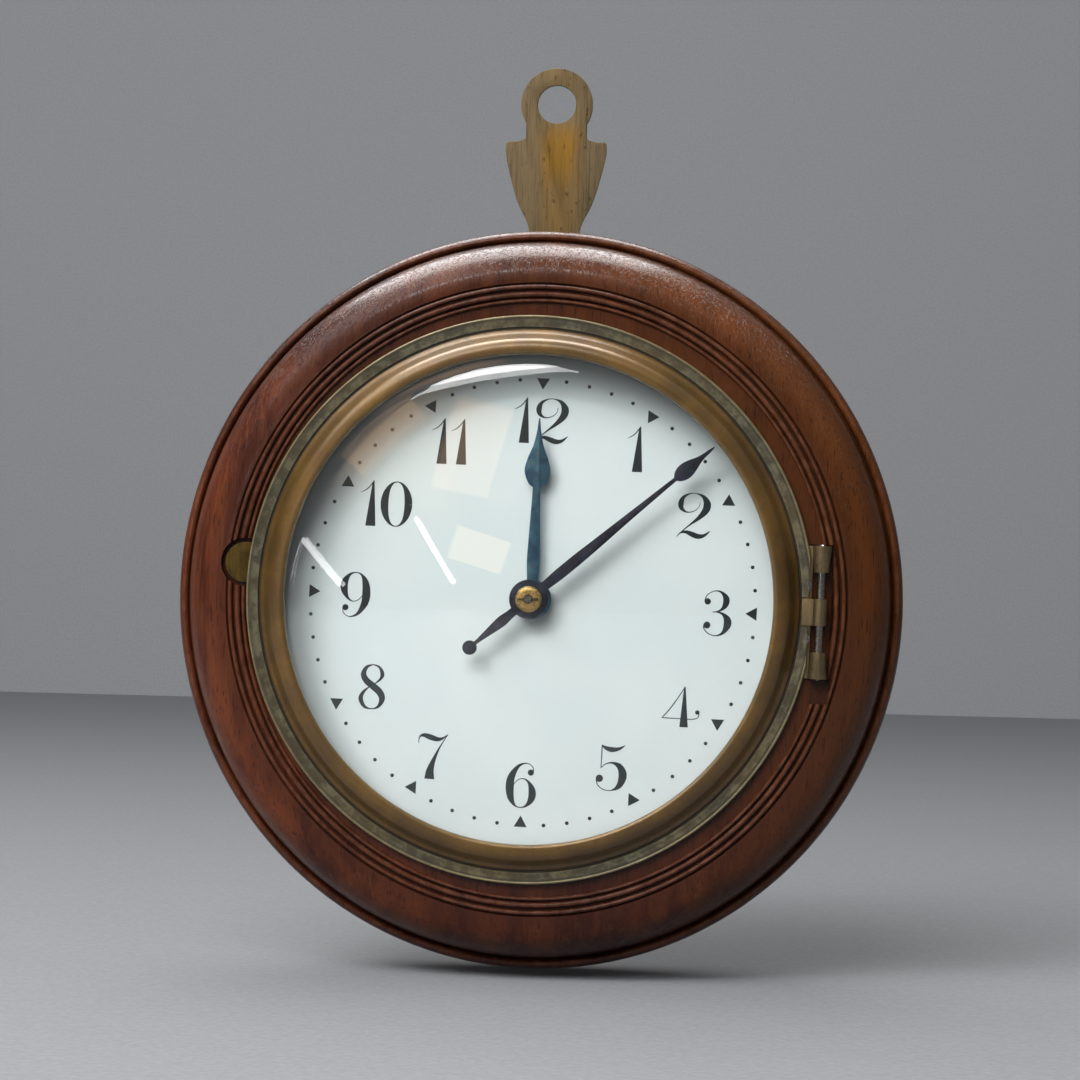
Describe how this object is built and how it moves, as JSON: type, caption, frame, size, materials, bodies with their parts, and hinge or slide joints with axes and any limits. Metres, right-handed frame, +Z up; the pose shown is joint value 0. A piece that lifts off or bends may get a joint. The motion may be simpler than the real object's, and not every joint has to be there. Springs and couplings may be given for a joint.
{
  "type": "sedan clock",
  "caption": "Round mahogany hanging clock with a hinged brass bezel, domed glass, white enamel dial, blued hands and a hanging plate.",
  "frame": {"origin": "centre of the hanging hole, on the wall plane that the case's back lies on", "axes": "+Z up, +Y towards the wall, so the dial faces -Y"},
  "size_m": [0.1622, 0.0496, 0.2058],
  "materials": {
    "mahogany": "french polished",
    "brass": "aged, patinated",
    "gilt_brass": "grained and gilt",
    "steel": "polished",
    "blued_steel": "heat blued, worn",
    "enamel": "fired white enamel on copper",
    "glass": "clear, domed"
  },
  "bodies": {
    "case": {"case_body": "mahogany", "hanging_plate": "brass", "plate_screw_1": "steel", "plate_screw_2": "steel", "case_back_hinge_leaf": "brass", "back_hinge_pin": "steel", "case_leaf_screw": "steel", "case_hinge_leaf": "brass", "bezel_hinge_pin": "steel", "hinge_screw_1": "steel", "hinge_screw_2": "steel", "catch_screw": "steel", "movement_ring": "gilt_brass", "ring_screw_1": "steel", "ring_screw_2": "steel", "ring_screw_3": "steel", "frame_screw_1": "blued_steel", "frame_screw_2": "blued_steel", "frame_screw_3": "blued_steel", "front_plate": "gilt_brass", "back_plate": "gilt_brass", "pillar_1": "gilt_brass", "pillar_2": "gilt_brass", "pillar_3": "gilt_brass", "pillar_4": "gilt_brass", "click_spring": "blued_steel", "balance_spring": "blued_steel", "balance_cock": "gilt_brass", "cock_screw": "blued_steel", "dial": "enamel", "dial_pin_1": "steel", "dial_pin_2": "steel", "dial_pin_3": "steel"},
    "bezel": {"bezel_ring": "brass", "glass_dome": "glass", "glass_keeper_ring": "brass", "bezel_hinge_lug": "brass"},
    "door": {"back_door": "mahogany", "door_hinge_leaf": "brass", "door_leaf_screw": "steel"},
    "catch": {"bezel_catch": "brass"},
    "minute": {"cannon_pinion": "steel", "minute_hand": "blued_steel", "hand_collet": "brass", "hand_pin": "steel"},
    "hour": {"hour_wheel": "gilt_brass", "hour_hand": "blued_steel"},
    "reducing": {"minute_wheel": "gilt_brass"},
    "mainspring_barrel": {"barrel": "gilt_brass", "barrel_cover": "gilt_brass", "mainspring": "blued_steel"},
    "winding": {"barrel_arbor": "steel", "ratchet_wheel": "steel"},
    "click_body": {"click": "steel"},
    "centre": {"centre_wheel": "gilt_brass"},
    "third": {"third_wheel": "gilt_brass"},
    "fourth": {"fourth_wheel": "gilt_brass"},
    "escape": {"escape_wheel": "gilt_brass"},
    "lever": {"pallet_lever": "steel"},
    "balance": {"balance_wheel": "gilt_brass"}
  },
  "joints": [
    {"name": "bezel_swing", "type": "hinge", "parent": "case", "child": "bezel", "pos_m": [0.06238, -0.0392, -0.11645], "axis": [0.0227, 0, 0.9997], "range_deg": [0, 120]},
    {"name": "back_door_swing", "type": "hinge", "parent": "case", "child": "door", "pos_m": [0.0522, -0.0018, -0.115], "axis": [0, 0, -1], "range_deg": [0, 90]},
    {"name": "catch_turn", "type": "hinge", "parent": "case", "child": "catch", "pos_m": [-0.0619, -0.0368, -0.1082], "axis": [0, 1, 0], "range_deg": [0, 5], "stiffness_Nm_per_rad": 0.01},
    {"name": "minute_hand_turn", "type": "hinge", "parent": "case", "child": "minute", "pos_m": [-0.0014, -0.0366, -0.115], "axis": [0, 1, 0], "continuous": true},
    {"name": "hour_hand_turn", "type": "hinge", "parent": "case", "child": "hour", "pos_m": [-0.0014, -0.0346, -0.115], "axis": [0, 1, 0], "continuous": true},
    {"name": "minute_wheel_turn", "type": "hinge", "parent": "case", "child": "reducing", "pos_m": [-0.0014, -0.027, -0.125], "axis": [0, 1, 0], "continuous": true},
    {"name": "escape_turn", "type": "hinge", "parent": "case", "child": "escape", "pos_m": [0.01325, -0.0144, -0.12281], "axis": [0, 1, 0], "continuous": true},
    {"name": "fourth_turn", "type": "hinge", "parent": "case", "child": "fourth", "pos_m": [0.01152, -0.0206, -0.11297], "axis": [0, 1, 0], "continuous": true},
    {"name": "third_turn", "type": "hinge", "parent": "case", "child": "third", "pos_m": [0.00508, -0.0166, -0.10378], "axis": [0, 1, 0], "continuous": true},
    {"name": "centre_turn", "type": "hinge", "parent": "case", "child": "centre", "pos_m": [-0.0014, -0.023, -0.115], "axis": [0, 1, 0], "continuous": true},
    {"name": "barrel_turn", "type": "hinge", "parent": "case", "child": "mainspring_barrel", "pos_m": [-0.01715, -0.018, -0.115], "axis": [0, 1, 0], "continuous": true},
    {"name": "winding_turn", "type": "hinge", "parent": "case", "child": "winding", "pos_m": [-0.01715, -0.01, -0.115], "axis": [0, 1, 0], "continuous": true},
    {"name": "click_lift", "type": "hinge", "parent": "case", "child": "click_body", "pos_m": [-0.02194, -0.01, -0.10599], "axis": [0, 1, 0], "range_deg": [0, 7], "stiffness_Nm_per_rad": 0.001},
    {"name": "lever_rock", "type": "hinge", "parent": "case", "child": "lever", "pos_m": [0.00915, -0.0144, -0.12991], "axis": [0, 1, 0], "range_deg": [-6, 6]},
    {"name": "balance_swing", "type": "hinge", "parent": "case", "child": "balance", "pos_m": [0.00029, -0.009, -0.13147], "axis": [0, 1, 0], "range_deg": [-135, 135], "stiffness_Nm_per_rad": 0.000012}
  ],
  "couplings": [
    {"joint": "hour_hand_turn", "follows": "minute_hand_turn", "ratio": 0.083333},
    {"joint": "minute_wheel_turn", "follows": "minute_hand_turn", "ratio": -0.33333},
    {"joint": "fourth_turn", "follows": "escape_turn", "ratio": -0.125},
    {"joint": "third_turn", "follows": "escape_turn", "ratio": 0.016667},
    {"joint": "centre_turn", "follows": "escape_turn", "ratio": -0.0020833},
    {"joint": "barrel_turn", "follows": "escape_turn", "ratio": 0.00041667}
  ]
}
